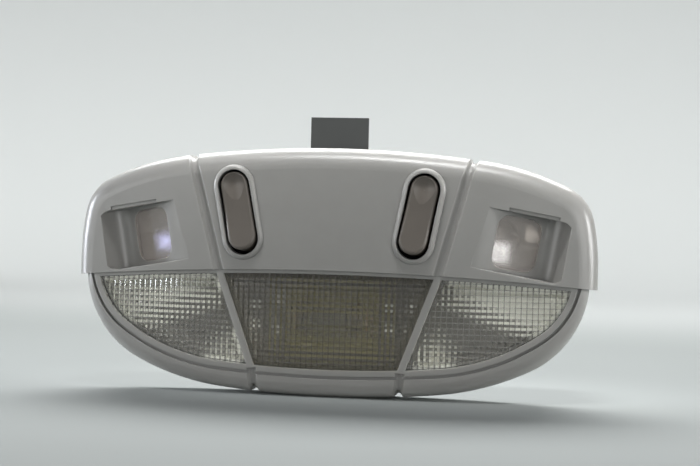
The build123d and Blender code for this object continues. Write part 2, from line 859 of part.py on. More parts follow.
with BuildPart() as tub_room:
    extrude(tub_plan(0), amount=far)
    with BuildSketch(FRONT.offset(-tub_back), LAMP.offset(-holder_seat)):
        Rectangle(far, far)
    extrude(amount=tub_wall, both=True, mode=Mode.SUBTRACT)

with BuildPart() as rear_housing:
    extrude(half_face(upper_outline(wall + housing_fit), joggle, Mode.SUBTRACT), amount=plate_front)
    extrude(half_face(lower_outline(wall + housing_fit), joggle, Mode.INTERSECT), amount=plate_front)
    inset = wall + housing_fit + skirt_thickness
    extrude(half_face(upper_outline(inset), joggle, Mode.SUBTRACT), amount=plate_back, mode=Mode.SUBTRACT)
    extrude(half_face(lower_outline(inset), joggle, Mode.INTERSECT), amount=plate_back, mode=Mode.SUBTRACT)
    for place in fixing_places:
        add(rod(FRONT * Pos(*place), fixing_boss_radius, plate_front))
    for piece in both_sides(tub.part):
        add(piece)
    for piece in both_sides(tub_room.part):
        add(piece, mode=Mode.SUBTRACT)
    seat = LAMP.offset(-holder_seat)
    for piece in both_sides(rod(seat, collar_radius, holder_seat - bowl_back)):
        add(piece)
    for piece in both_sides(rod(seat, holder_radius + holder_fit, holder_seat - bowl_front)):
        add(piece, mode=Mode.SUBTRACT)
    for piece in both_sides(terminal_slot.part):
        add(piece, mode=Mode.SUBTRACT)
    with BuildSketch(BUTTON) as switch_hole:
        Rectangle(switch_width + 2 * switch_fit, switch_length + 2 * switch_fit)
    for piece in both_sides(extrude(switch_hole.sketch, amount=face_out, mode=Mode.PRIVATE)):
        add(piece, mode=Mode.SUBTRACT)
    for places, radius in (
        (fixing_places, fixing_hole_radius),
        (screw_places, screw_radius + screw_hole_fit),
        (rivet_places, rivet_radius + screw_fit),
    ):
        for place in places:
            add(rod(FRONT * Pos(*place), radius, far), mode=Mode.SUBTRACT)
    for place in screw_places:
        add(rod(FRONT * Pos(*place), screw_head_radius + screw_hole_fit, plate_back), mode=Mode.SUBTRACT)

with BuildPart() as housing_screws:
    for place in screw_places:
        add(rod(FRONT.offset(plate_back) * Pos(*place), screw_radius, screw_length))
        add(rod(FRONT.offset(plate_back) * Pos(*place), screw_head_radius, -screw_head))
        with BuildSketch(FRONT.offset(plate_back - screw_head) * Pos(*place)):
            Rectangle(2 * screw_radius, screw_cross)
            Rectangle(screw_cross, 2 * screw_radius)
        extrude(amount=screw_head / 2, mode=Mode.SUBTRACT)

# Lead frame: each strip joins a map lamp, a dome terminal and the connector
connector_foot = connector_height - connector_depth / 2
with BuildPart() as strip_right:
    leg = terminal_inside + terminal_thickness / 2
    bar = split_rise
    tub_side = scoop_x - tub_inner_reach * cosine(scoop_tilt) - 2 * tub_wall
    bars = (
        ((leg, -split_height - terminal_width / 2 - strip_width / 2), (leg, connector_foot - strip_gap)),
        ((leg, bar), (tub_side, bar)),
    )
    for points in bars:
        add(strip(points, FRONT.offset(plate_back - strip_thickness), strip_width, strip_thickness))
    add(terminal_slot.part, mode=Mode.SUBTRACT)

with BuildPart() as connector_pins:
    with BuildSketch(FRONT.offset(-pin_end)):
        with Locations((0, connector_height)):
            with GridLocations(pin_spacing, 0, pin_count, 1):
                Rectangle(pin_width, pin_thickness)
    extrude(amount=pin_end + plate_back)

with BuildPart() as connector_shell:
    with BuildSketch(FRONT.offset(plate_back)):
        with Locations((0, connector_height)):
            Rectangle(connector_width, connector_depth)
    extrude(amount=-connector_length)
    with BuildSketch(FRONT.offset(plate_back - connector_floor)):
        with Locations((0, connector_height)):
            Rectangle(connector_width - 2 * connector_wall, connector_depth - 2 * connector_wall)
    extrude(amount=-connector_length, mode=Mode.SUBTRACT)
    add(connector_pins.part, mode=Mode.SUBTRACT)

# Locating tongue: a joggled strip riveted to the plate, standing clear behind the rim
with BuildPart() as locating_tongue:
    with BuildSketch(Plane.YZ):
        with BuildLine() as tongue_path:
            level = -plate_back + tongue_thickness / 2
            Polyline(
                (level, tongue_foot + split_height),
                (level, tongue_bend + split_height),
                (level + tongue_step, tongue_bend + tongue_step + split_height),
                (level + tongue_step, tongue_top + split_height),
            )
        trace(tongue_path.line, line_width=tongue_thickness)
    extrude(amount=tongue_half_width, both=True)
    for place in rivet_places:
        add(rod(FRONT.offset(-far / 2) * Pos(*place), rivet_radius + screw_fit, far), mode=Mode.SUBTRACT)

with BuildPart() as tongue_rivets:
    rivet_back = plate_back - tongue_thickness
    for place in rivet_places:
        add(rod(FRONT.offset(rivet_back) * Pos(*place), rivet_radius, plate_front - rivet_back))
        add(rod(FRONT.offset(rivet_back) * Pos(*place), rivet_head_radius, -rivet_head))
        add(rod(FRONT.offset(plate_front) * Pos(*place), rivet_head_radius, rivet_head))

# Every piece by name, with the left-hand ones mirrored from the right
pieces = {
    "bezel": bezel.part,
    "left_lens": left_lens,
    "centre_lens": centre_lens,
    "right_lens": right_lens,
    "rear_housing": rear_housing.part,
    "dome_reflector": dome_reflector.part,
    "heat_shield": heat_shield.part,
    "dome_bulb": dome_bulb.part,
    "dome_bulb_caps": dome_bulb_caps.part,
    "housing_screws": housing_screws.part,
    "connector_shell": connector_shell.part,
    "connector_pins": connector_pins.part,
    "locating_tongue": locating_tongue.part,
    "tongue_rivets": tongue_rivets.part,
}
handed = {
    "map_lens": map_lens,
    "button": button,
    "button_plunger": plunger,
    "button_spring": spring,
    "switch_body": switch_body,
    "switch_blades": blades,
    "map_reflector": map_reflector,
    "map_bulb": map_bulb,
    "bulb_holder": bulb_holder,
    "dome_terminal": dome_terminal,
    "lead_strip": strip_right,
}
for name, builder in handed.items():
    pieces["right_" + name] = builder.part
    pieces["left_" + name] = mirrored(builder.part)

os.makedirs("parts", exist_ok=True)
for name, piece in pieces.items():
    piece.label = name
    export_step(piece, f"parts/{name}.step")
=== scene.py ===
from math import cos, pi, radians, sin

import bmesh
import bpy
from mathutils import Matrix, Vector


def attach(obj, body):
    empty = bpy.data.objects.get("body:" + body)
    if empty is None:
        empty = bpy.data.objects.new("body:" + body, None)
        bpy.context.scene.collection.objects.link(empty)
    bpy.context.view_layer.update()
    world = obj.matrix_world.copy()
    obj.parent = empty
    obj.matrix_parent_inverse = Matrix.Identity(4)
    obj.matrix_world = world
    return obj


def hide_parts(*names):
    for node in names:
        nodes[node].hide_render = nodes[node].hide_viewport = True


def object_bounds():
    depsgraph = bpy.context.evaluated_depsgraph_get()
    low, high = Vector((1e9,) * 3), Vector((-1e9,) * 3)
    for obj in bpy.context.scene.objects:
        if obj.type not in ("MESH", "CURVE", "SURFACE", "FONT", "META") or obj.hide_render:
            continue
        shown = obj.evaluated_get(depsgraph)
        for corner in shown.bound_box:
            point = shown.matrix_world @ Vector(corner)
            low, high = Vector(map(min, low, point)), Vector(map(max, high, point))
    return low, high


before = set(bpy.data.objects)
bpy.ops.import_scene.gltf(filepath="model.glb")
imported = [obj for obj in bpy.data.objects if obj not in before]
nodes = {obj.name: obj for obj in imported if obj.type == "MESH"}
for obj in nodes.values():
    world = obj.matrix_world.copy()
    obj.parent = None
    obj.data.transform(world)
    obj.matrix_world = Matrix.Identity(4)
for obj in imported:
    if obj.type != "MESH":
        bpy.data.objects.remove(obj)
cad_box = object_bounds()
mm = 0.001


def linear(code):
    """sRGB hex, as a colour is read off a sample card, to the linear values that the shaders take."""
    parts = [int(code[i : i + 2], 16) / 255 for i in (1, 3, 5)]
    return [c / 12.92 if c <= 0.04045 else ((c + 0.055) / 1.055) ** 2.4 for c in parts] + [1.0]


def add_node(tree, kind, settings=None, sockets=None):
    """One shader node: its settings, and its inputs by name or number, as values or other nodes' outputs."""
    made = tree.nodes.new(kind)
    for name, value in (settings or {}).items():
        setattr(made, name, value)
    for name, value in (sockets or {}).items():
        if isinstance(value, bpy.types.NodeSocket):
            tree.links.new(value, made.inputs[name])
        else:
            made.inputs[name].default_value = value
    return made


def new_material(name):
    """An empty material, its tree and its output."""
    material = bpy.data.materials.new(name)
    material.use_nodes = True
    tree = material.node_tree
    tree.nodes.clear()
    return material, tree, add_node(tree, "ShaderNodeOutputMaterial")


def finish_material(material, tree, output, shader):
    """Joins the last shader to the output."""
    tree.links.new(shader, output.inputs["Surface"])
    return material


def moulded_plastic(
    name, light, dark, roughness, grain_mm, grain_depth_mm, corner_shade=0.0, glow_mm=0.0, edge_mm=0.0
):
    """Injection-moulded plastic: slight clouds in the colour, a spark-eroded grain, and painted shade
    darkening its corners.
    """
    cloud_mm = 9.0
    corner_mm = 1.6
    glow_share = 0.7
    material, tree, output = new_material(name)
    place = add_node(tree, "ShaderNodeTexCoord").outputs["Object"]
    cloud = add_node(tree, "ShaderNodeTexNoise", None, {
        "Vector": place, "Scale": 1 / (cloud_mm * mm), "Detail": 4.0,
    })
    tone = add_node(tree, "ShaderNodeMix", {"data_type": "RGBA"}, {
        "Factor": cloud.outputs["Fac"], "A": linear(dark), "B": linear(light),
    }).outputs["Result"]
    # Painted shade: the colour is darkened where ambient occlusion finds corners, creases and hollows
    if corner_shade:
        hollow = add_node(tree, "ShaderNodeAmbientOcclusion", {"samples": 6}, {"Distance": corner_mm * mm})
        depth = add_node(tree, "ShaderNodeMapRange", None, {
            "Value": hollow.outputs["AO"], "From Min": 0.25, "From Max": 0.8,
            "To Min": 1 - corner_shade, "To Max": 1.0,
        })
        tone = add_node(tree, "ShaderNodeMix", {"data_type": "RGBA", "blend_type": "MULTIPLY"}, {
            "Factor": 1.0, "A": tone, "B": depth.outputs["Result"],
        }).outputs["Result"]
    grain = add_node(tree, "ShaderNodeTexNoise", None, {
        "Vector": place, "Scale": 1 / (grain_mm * mm), "Detail": 2.0,
    })
    relief = {"Height": grain.outputs["Fac"], "Strength": 0.6, "Distance": grain_depth_mm * mm}
    if edge_mm:
        rounded = add_node(tree, "ShaderNodeBevel", {"samples": 4}, {"Radius": edge_mm * mm})
        relief["Normal"] = rounded.outputs["Normal"]
    bump = add_node(tree, "ShaderNodeBump", None, relief)
    shine = add_node(tree, "ShaderNodeMapRange", None, {
        "Value": cloud.outputs["Fac"], "From Min": 0.3, "From Max": 0.7,
        "To Min": roughness * 0.95, "To Max": roughness * 1.05,
    })
    shader = add_node(tree, "ShaderNodeBsdfPrincipled", None, {
        "Base Color": tone,
        "Roughness": shine.outputs["Result"],
        "IOR": 1.53,
        "Subsurface Weight": glow_share if glow_mm else 0.0,
        "Subsurface Radius": (1.0, 0.96, 0.92),
        "Subsurface Scale": glow_mm * mm,
        "Normal": bump.outputs["Normal"],
    })
    return finish_material(material, tree, output, shader.outputs["BSDF"])


def valley_shade_lines(tree, place, pitch_mm, start_mm, direction):
    """Mask of painted shade in the valleys of straight flutes, where dirt also lies: 1 along each valley, 0
    between them.
    """
    # The wave texture runs through 20 radians per unit of length
    wave_rate = 20
    bands = add_node(tree, "ShaderNodeTexWave", {"bands_direction": direction}, {
        "Vector": place,
        "Scale": 2 * pi / (wave_rate * pitch_mm * mm),
        "Phase Offset": -2 * pi * start_mm / pitch_mm,
    })
    return add_node(tree, "ShaderNodeMapRange", None, {
        "Value": bands.outputs["Fac"], "From Min": 0.88, "From Max": 1.0,
    }).outputs["Result"]


def clear_plastic(name, tint, roughness, ior, haze, wave_mm, milk=0.0, coat=0.0, flutes=None):
    """Clear moulding: a faint flow wave in the surface, dull specks of dust, and lamps shine through it."""
    speck_mm = 2.5
    material, tree, output = new_material(name)
    place = add_node(tree, "ShaderNodeTexCoord").outputs["Object"]
    flow = add_node(tree, "ShaderNodeTexNoise", None, {
        "Vector": place, "Scale": 1 / (wave_mm * mm), "Detail": 2.0,
    })
    bump = add_node(tree, "ShaderNodeBump", None, {
        "Height": flow.outputs["Fac"], "Strength": 0.3, "Distance": 0.03 * mm,
    })
    dust_and_shade = add_node(tree, "ShaderNodeTexNoise", None, {
        "Vector": place, "Scale": 1 / (speck_mm * mm), "Detail": 5.0,
    })
    dull = add_node(tree, "ShaderNodeMapRange", None, {
        "Value": dust_and_shade.outputs["Fac"], "From Min": 0.4, "From Max": 0.75,
        "To Min": roughness, "To Max": roughness + haze,
    })
    sockets = {
        "Base Color": linear(tint),
        "Roughness": dull.outputs["Result"],
        "IOR": ior,
        "Transmission Weight": 1 - milk,
        "Coat Weight": coat,
        "Coat Roughness": 0.08,
        "Normal": bump.outputs["Normal"],
    }
    # Painted shade and dust: every flute valley gets a darker colour and lets less light through
    if flutes:
        upright = valley_shade_lines(tree, place, flutes["pitch_mm"], 0.0, "X")
        level = valley_shade_lines(tree, place, flutes["pitch_mm"], flutes["level_start_mm"], "Z")
        cover = add_node(tree, "ShaderNodeMath", {"operation": "MULTIPLY_ADD"}, {
            0: level, 1: flutes["level_share"], 2: upright,
        })
        sockets["Base Color"] = add_node(tree, "ShaderNodeMix", {"data_type": "RGBA"}, {
            "Factor": cover.outputs["Value"], "A": linear(tint), "B": linear(flutes["dust_and_shade"]),
        }).outputs["Result"]
        sockets["Transmission Weight"] = add_node(tree, "ShaderNodeMapRange", None, {
            "Value": cover.outputs["Value"], "To Min": 1.0, "To Max": 1 - flutes["cover"],
        }).outputs["Result"]
    glass = add_node(tree, "ShaderNodeBsdfPrincipled", None, sockets)
    through = add_node(tree, "ShaderNodeBsdfTransparent", None, {"Color": linear(tint)})
    ray = add_node(tree, "ShaderNodeLightPath")
    lit = add_node(tree, "ShaderNodeMixShader", None, {
        0: ray.outputs["Is Shadow Ray"], 1: glass.outputs["BSDF"], 2: through.outputs["BSDF"],
    })
    return finish_material(material, tree, output, lit.outputs["Shader"])


def sheet_metal(name, light, dark, roughness, patch_mm, scratch_mm):
    """Stamped or plated metal: patches of tarnish and fine handling scratches in the shine."""
    material, tree, output = new_material(name)
    place = add_node(tree, "ShaderNodeTexCoord").outputs["Object"]
    patch = add_node(tree, "ShaderNodeTexNoise", None, {
        "Vector": place, "Scale": 1 / (patch_mm * mm), "Detail": 5.0,
    })
    tone = add_node(tree, "ShaderNodeMix", {"data_type": "RGBA"}, {
        "Factor": patch.outputs["Fac"], "A": linear(dark), "B": linear(light),
    })
    stretch = add_node(tree, "ShaderNodeMapping", None, {"Vector": place, "Scale": (1.0, 1.0, 12.0)})
    scratch = add_node(tree, "ShaderNodeTexNoise", None, {
        "Vector": stretch.outputs["Vector"], "Scale": 1 / (scratch_mm * mm), "Detail": 2.0,
    })
    shine = add_node(tree, "ShaderNodeMapRange", None, {
        "Value": scratch.outputs["Fac"], "From Min": 0.3, "From Max": 0.7,
        "To Min": roughness * 0.7, "To Max": roughness * 1.3,
    })
    bump = add_node(tree, "ShaderNodeBump", None, {
        "Height": scratch.outputs["Fac"], "Strength": 0.25, "Distance": 0.01 * mm,
    })
    shader = add_node(tree, "ShaderNodeBsdfPrincipled", None, {
        "Base Color": tone.outputs["Result"],
        "Metallic": 1.0,
        "Roughness": shine.outputs["Result"],
        "Normal": bump.outputs["Normal"],
    })
    return finish_material(material, tree, output, shader.outputs["BSDF"])


def tray_with_painted_light_film(name, grey, film, rib, upper, foot):
    """Grey moulding with satin aluminium film beyond its ribs: over the upper part and at each rib's foot,
    laid there as painted light that brightens those places.

    Each of the three soft edges is a slanted line: its slope, its place at height zero, its softness in mm.
    """
    grain_mm = 0.8
    material, tree, output = new_material(name)
    place = add_node(tree, "ShaderNodeTexCoord").outputs["Object"]
    split = add_node(tree, "ShaderNodeSeparateXYZ", None, {"Vector": place})
    reach = add_node(tree, "ShaderNodeMath", {"operation": "ABSOLUTE"}, {0: split.outputs["X"]})
    edges = ((rib, 0.0, 1.0), (upper, 0.0, 1.0), (foot, 1.0, 0.0))
    masks = []
    for (slope, start_mm, soft_mm), before, beyond in edges:
        line = add_node(tree, "ShaderNodeMath", {"operation": "MULTIPLY_ADD"}, {
            0: split.outputs["Z"], 1: slope, 2: reach.outputs["Value"],
        })
        edge = add_node(tree, "ShaderNodeMapRange", {"interpolation_type": "SMOOTHSTEP"}, {
            "Value": line.outputs["Value"],
            "From Min": (start_mm - soft_mm) * mm,
            "From Max": (start_mm + soft_mm) * mm,
            "To Min": before,
            "To Max": beyond,
        })
        masks.append(edge.outputs["Result"])
    beyond_rib, above, at_foot = masks
    # Painted light: the bright film is laid on the upper part and at the rib feet to make them brighter
    painted_light_patches = add_node(tree, "ShaderNodeMath", {"operation": "MAXIMUM"}, {0: above, 1: at_foot})
    cover = add_node(tree, "ShaderNodeMath", {"operation": "MULTIPLY"}, {
        0: beyond_rib, 1: painted_light_patches.outputs["Value"],
    })
    tone = add_node(tree, "ShaderNodeMix", {"data_type": "RGBA"}, {
        "Factor": cover.outputs["Value"], "A": linear(grey), "B": linear(film),
    })
    grain = add_node(tree, "ShaderNodeTexNoise", None, {
        "Vector": place, "Scale": 1 / (grain_mm * mm), "Detail": 2.0,
    })
    bump = add_node(tree, "ShaderNodeBump", None, {
        "Height": grain.outputs["Fac"], "Strength": 0.4, "Distance": 0.01 * mm,
    })
    shader = add_node(tree, "ShaderNodeBsdfPrincipled", None, {
        "Base Color": tone.outputs["Result"],
        "Metallic": cover.outputs["Value"],
        "Roughness": 0.5,
        "Normal": bump.outputs["Normal"],
    })
    return finish_material(material, tree, output, shader.outputs["BSDF"])


def graduated_paper(name, front, back, start, end):
    """Matt paper printed from a front colour to a back one."""
    tooth_mm = 1.0
    material, tree, output = new_material(name)
    place = add_node(tree, "ShaderNodeTexCoord").outputs["Object"]
    split = add_node(tree, "ShaderNodeSeparateXYZ", None, {"Vector": place})
    run = add_node(tree, "ShaderNodeMapRange", {"interpolation_type": "SMOOTHSTEP"}, {
        "Value": split.outputs["Y"], "From Min": start, "From Max": end,
    })
    tone = add_node(tree, "ShaderNodeMix", {"data_type": "RGBA"}, {
        "Factor": run.outputs["Result"], "A": linear(front), "B": linear(back),
    })
    tooth = add_node(tree, "ShaderNodeTexNoise", None, {
        "Vector": place, "Scale": 1 / (tooth_mm * mm), "Detail": 2.0,
    })
    bump = add_node(tree, "ShaderNodeBump", None, {
        "Height": tooth.outputs["Fac"], "Strength": 0.4, "Distance": 0.02 * mm,
    })
    shader = add_node(tree, "ShaderNodeBsdfPrincipled", None, {
        "Base Color": tone.outputs["Result"], "Roughness": 0.9, "Normal": bump.outputs["Normal"],
    })
    return finish_material(material, tree, output, shader.outputs["BSDF"])


# Grey ABS of the bezel: half-gloss, so the rim catches the light boxes while the face stays mid grey
bezel_abs = moulded_plastic(
    "moulded_grey_abs", "#A09F9C", "#9A9996",
    roughness=0.33, grain_mm=0.5, grain_depth_mm=0.012, corner_shade=0.25, glow_mm=3.0, edge_mm=0.35,
)
# Taupe ABS of the rockers: satin, darker and warmer than the bezel
button_abs = moulded_plastic(
    "moulded_taupe_abs", "#666059", "#5E5852",
    roughness=0.42, grain_mm=0.4, grain_depth_mm=0.012, corner_shade=0.2, edge_mm=0.25,
)
# Clear acrylic with prisms on both sides: dust and painted shade in the valleys draw the lens as a grid
flutes = {"pitch_mm": 2.1, "level_start_mm": 14.0, "level_share": 0.4, "dust_and_shade": "#7A7873", "cover": 0.45}
prism_acrylic = clear_plastic(
    "moulded_clear_acrylic", "#FAFAF7", roughness=0.04, ior=1.49, haze=0.05, wave_mm=6.0, flutes=flutes
)
# The same acrylic over the dome bulb, with a darker tint and a haze, so that what lies behind it is soft
darker_tinted_acrylic = clear_plastic(
    "hazed_darker_tinted_acrylic", "#D4D1C5",
    roughness=0.19, ior=1.49, haze=0.05, wave_mm=6.0, flutes={**flutes, "cover": 0.25},
)
# Milky polycarbonate of the map windows: fine-frosted inside, polished outside
frosted_polycarbonate = clear_plastic(
    "frosted_polycarbonate", "#E4DCD6",
    roughness=0.06, ior=1.58, haze=0.05, wave_mm=8.0, milk=0.25, coat=1.0,
)
# Glass-filled nylon of the housing: dull dark grey with cloudy fibre flow
housing_nylon = moulded_plastic(
    "moulded_glass_filled_nylon", "#3C3D3F", "#303133",
    roughness=0.55, grain_mm=0.7, grain_depth_mm=0.03, corner_shade=0.3,
)
# Polypropylene of the tray: bare grey, with aluminium film in its two outer bays, laid over their upper
# parts and rib feet as painted light
tray_painted_light_film = tray_with_painted_light_film(
    "polypropylene_with_painted_light_film", "#656360", "#EDEDE8",
    rib=(-0.37, 39.0, 1.5), upper=(2.5, 66.0, 5.0), foot=(1.0, 32.0, 3.0),
)
# Zinc-plated steel with a yellow chromate film, which gives the shield its olive-gold bloom
yellow_zinc = sheet_metal(
    "yellow_passivated_steel", "#A9A478", "#827E56", roughness=0.5, patch_mm=5.0, scratch_mm=0.4
)
# Aluminium film on the map bowls: near mirror
metallised = sheet_metal(
    "metallised_bowl", "#D9DBDC", "#C9CBCC", roughness=0.1, patch_mm=7.0, scratch_mm=0.8
)
# Nickel plate on the bulb caps and filament posts: dull with a warm cast
nickel = sheet_metal("nickel_plate", "#8E8878", "#78725F", roughness=0.4, patch_mm=3.0, scratch_mm=0.3)
# Stamped brass of the terminals, strips, blades and pins: tarnished gold
brass = sheet_metal("stamped_brass", "#B89A5A", "#947540", roughness=0.5, patch_mm=4.0, scratch_mm=0.3)
# Bright zinc on screws, rivets and springs: pale and slightly blue
bright_zinc = sheet_metal(
    "bright_zinc_plate", "#C4C7CA", "#A5A9AD", roughness=0.3, patch_mm=3.0, scratch_mm=0.25
)
# Black PBT of switches and bulb holders: satin, nearly black
black_pbt = moulded_plastic(
    "moulded_black_pbt", "#2B2B2D", "#222224", roughness=0.45, grain_mm=0.5, grain_depth_mm=0.015, corner_shade=0.2
)
# White acetal of the plungers: slippery and waxy
acetal = moulded_plastic(
    "moulded_white_acetal", "#E6E3DA", "#DAD7CE", roughness=0.3, grain_mm=0.5, grain_depth_mm=0.008
)
# Natural nylon of the connector: cream
natural_nylon = moulded_plastic(
    "moulded_natural_nylon", "#D8D0BB", "#CBC2AC",
    roughness=0.4, grain_mm=0.6, grain_depth_mm=0.012, corner_shade=0.25,
)
# Phosphated and painted spring steel of the tongue: flat dark grey
painted_steel = moulded_plastic(
    "painted_spring_steel", "#454746", "#3E403F",
    roughness=0.6, grain_mm=0.35, grain_depth_mm=0.02, edge_mm=0.15,
)
# Blown soda glass of the bulbs: clear, with a soft wave from the blowing
bulb_glass = clear_plastic("blown_soda_glass", "#F6F7F5", roughness=0.0, ior=1.52, haze=0.02, wave_mm=3.0)
# Drawn tungsten of the filaments: dark grey
tungsten = sheet_metal("drawn_tungsten", "#6E6D6B", "#5A5958", roughness=0.35, patch_mm=1.0, scratch_mm=0.1)

finishes = {
    "bezel": bezel_abs,
    "left_lens": prism_acrylic,
    "centre_lens": darker_tinted_acrylic,
    "right_lens": prism_acrylic,
    "rear_housing": housing_nylon,
    "dome_reflector": tray_painted_light_film,
    "heat_shield": yellow_zinc,
    "dome_bulb_caps": nickel,
    "housing_screws": bright_zinc,
    "connector_shell": natural_nylon,
    "connector_pins": brass,
    "locating_tongue": painted_steel,
    "tongue_rivets": bright_zinc,
}
handed_finishes = {
    "map_lens": frosted_polycarbonate,
    "button": button_abs,
    "button_plunger": acetal,
    "button_spring": bright_zinc,
    "switch_body": black_pbt,
    "switch_blades": brass,
    "map_reflector": metallised,
    "bulb_holder": black_pbt,
    "dome_terminal": brass,
    "lead_strip": brass,
}
for name, finish in handed_finishes.items():
    for hand in ("left_", "right_"):
        finishes[hand + name] = finish
for name, finish in finishes.items():
    mesh = nodes[name].data
    mesh.materials.clear()
    mesh.materials.append(finish)


def turned_shell(name, profile, segments=48):
    """A closed shell turned about its own Z axis from (radius, height) points in millimetres."""
    shell = bmesh.new()
    ring = [shell.verts.new((radius * mm, 0.0, height * mm)) for radius, height in profile]
    line = [shell.edges.new(pair) for pair in zip(ring, ring[1:])]
    bmesh.ops.spin(
        shell, geom=ring + line, cent=(0, 0, 0), axis=(0, 0, 1),
        angle=2 * pi, steps=segments, use_merge=True,
    )
    bmesh.ops.remove_doubles(shell, verts=shell.verts, dist=0.01 * mm)
    bmesh.ops.recalc_face_normals(shell, faces=shell.faces)
    mesh = bpy.data.meshes.new(name)
    shell.to_mesh(mesh)
    shell.free()
    mesh.polygons.foreach_set("use_smooth", [True] * len(mesh.polygons))
    return bpy.data.objects.new(name, mesh)


def wire(name, runs, radius_mm):
    """Round wire along each run of points in millimetres."""
    curve = bpy.data.curves.new(name, "CURVE")
    curve.dimensions = "3D"
    curve.bevel_depth = radius_mm * mm
    curve.bevel_resolution = 2
    curve.use_fill_caps = True
    for run in runs:
        spline = curve.splines.new("POLY")
        spline.points.add(len(run) - 1)
        for point, place in zip(spline.points, run):
            point.co = (*[value * mm for value in place], 1.0)
    return bpy.data.objects.new(name, curve)


def coil(half_length, radius, turns, height, points_per_turn=12):
    """Points of a filament coiled along X at a height, in millimetres."""
    steps = turns * points_per_turn
    return [
        (
            half_length * (2 * i / steps - 1),
            radius * sin(2 * pi * turns * i / steps),
            height + radius * cos(2 * pi * turns * i / steps),
        )
        for i in range(steps + 1)
    ]


def arc(radius, centre_radius, centre_height, start, end, steps=8):
    """Points of a quarter round in a turned profile."""
    turns = [radians(start + (end - start) * i / steps) for i in range(steps + 1)]
    return [(centre_radius + radius * cos(t), centre_height + radius * sin(t)) for t in turns]


def set_in(piece, place, finish):
    """Puts a new piece in the lamp, gives it its finish and lets it ride with the lamp."""
    bpy.context.scene.collection.objects.link(piece)
    piece.matrix_world = place
    piece.data.materials.append(finish)
    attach(piece, "lamp")


# Bulbs: a thin glass shell in the place of each solid bulb, with a coiled filament and its posts, in mm
glass_wall = 0.5
filament_wire = 0.09
filament_coil = 0.4
post_wire = 0.2

# Festoon bulb of the dome lamp, which lies along X
festoon_radius = 4.0
festoon_half_length = 8.6
festoon_round = 1.4
festoon_out = 8.9
festoon_coil_half = 5.5
festoon_turns = 22
festoon_flat = festoon_radius - festoon_round
festoon_end = festoon_half_length - festoon_round
inner_half_length = festoon_half_length - glass_wall
inner_round = festoon_round - glass_wall
outside = [(0, -festoon_half_length)] + arc(festoon_round, festoon_flat, -festoon_end, -90, 0)
outside += arc(festoon_round, festoon_flat, festoon_end, 0, 90) + [(0, festoon_half_length)]
inside = [(0, inner_half_length)] + arc(inner_round, festoon_flat, festoon_end, 90, 0)
inside += arc(inner_round, festoon_flat, -festoon_end, 0, -90) + [(0, -inner_half_length)]
along_x = Matrix.Rotation(radians(90), 4, "Y")
festoon_place = Matrix.Translation((0, -festoon_out * mm, 0))
festoon_glass = turned_shell("dome_bulb_glass", outside + inside)
set_in(festoon_glass, festoon_place @ along_x, bulb_glass)
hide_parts("dome_bulb")
filament = coil(festoon_coil_half, filament_coil, festoon_turns, 0)
posts = [
    [(side * festoon_coil_half, 0, filament_coil), (side * inner_half_length, 0, 0)] for side in (-1, 1)
]
set_in(wire("dome_filament", [filament], filament_wire), festoon_place, tungsten)
set_in(wire("dome_filament_posts", posts, post_wire), festoon_place, nickel)

# Wedge bulbs of the map lamps: heights run along each bulb, down from the middle of its window
wedge_radius = 5.0
wedge_tip = -5.0
wedge_shoulder = -15.0
wedge_base = 3.4
wedge_end = -19.5
wedge_neck = wedge_shoulder - wedge_radius + wedge_base
wedge_tip_centre = wedge_tip - wedge_radius
wedge_tip_steps = 12
pinch_top = wedge_shoulder - 0.6
pinch_round = 1.0
wedge_coil_half = 2.0
wedge_coil_height = -9.5
wedge_turns = 9
post_foot = 1.2
inner_radius = wedge_radius - glass_wall
outside = arc(wedge_radius, 0, wedge_tip_centre, 90, 0, wedge_tip_steps)
outside += [(wedge_radius, wedge_shoulder), (wedge_base, wedge_neck)]
outside += [(wedge_base, wedge_end), (0, wedge_end)]
inside = [(0, pinch_top), (inner_radius - glass_wall, pinch_top)]
inside += [(inner_radius, wedge_shoulder + pinch_round)]
inside += arc(inner_radius, 0, wedge_tip_centre, 0, 90, wedge_tip_steps)
filament = coil(wedge_coil_half, filament_coil, wedge_turns, wedge_coil_height)
posts = [
    [(side * post_foot, 0, pinch_top), (side * wedge_coil_half, 0, wedge_coil_height)] for side in (-1, 1)
]

# Each map lamp stands square to its window, which the scoop turns outwards and tilts down
ramp_angle = radians(31)
scoop_tilt = radians(10)
window_x, window_y, window_z = 70.07, -9.06, 30.28
for side, hand in ((-1, "left_"), (1, "right_")):
    axis = Vector((
        side * sin(ramp_angle) * cos(scoop_tilt), -cos(ramp_angle), -sin(ramp_angle) * sin(scoop_tilt),
    ))
    aim = axis.to_track_quat("Z", "Y").to_matrix().to_4x4()
    place = Matrix.Translation(Vector((side * window_x, window_y, window_z)) * mm) @ aim
    wedge_glass = turned_shell(hand + "map_bulb_glass", outside + inside)
    set_in(wedge_glass, place, bulb_glass)
    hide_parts(hand + "map_bulb")
    set_in(wire(hand + "map_filament", [filament], filament_wire), place, tungsten)
    set_in(wire(hand + "map_filament_posts", posts, post_wire), place, nickel)

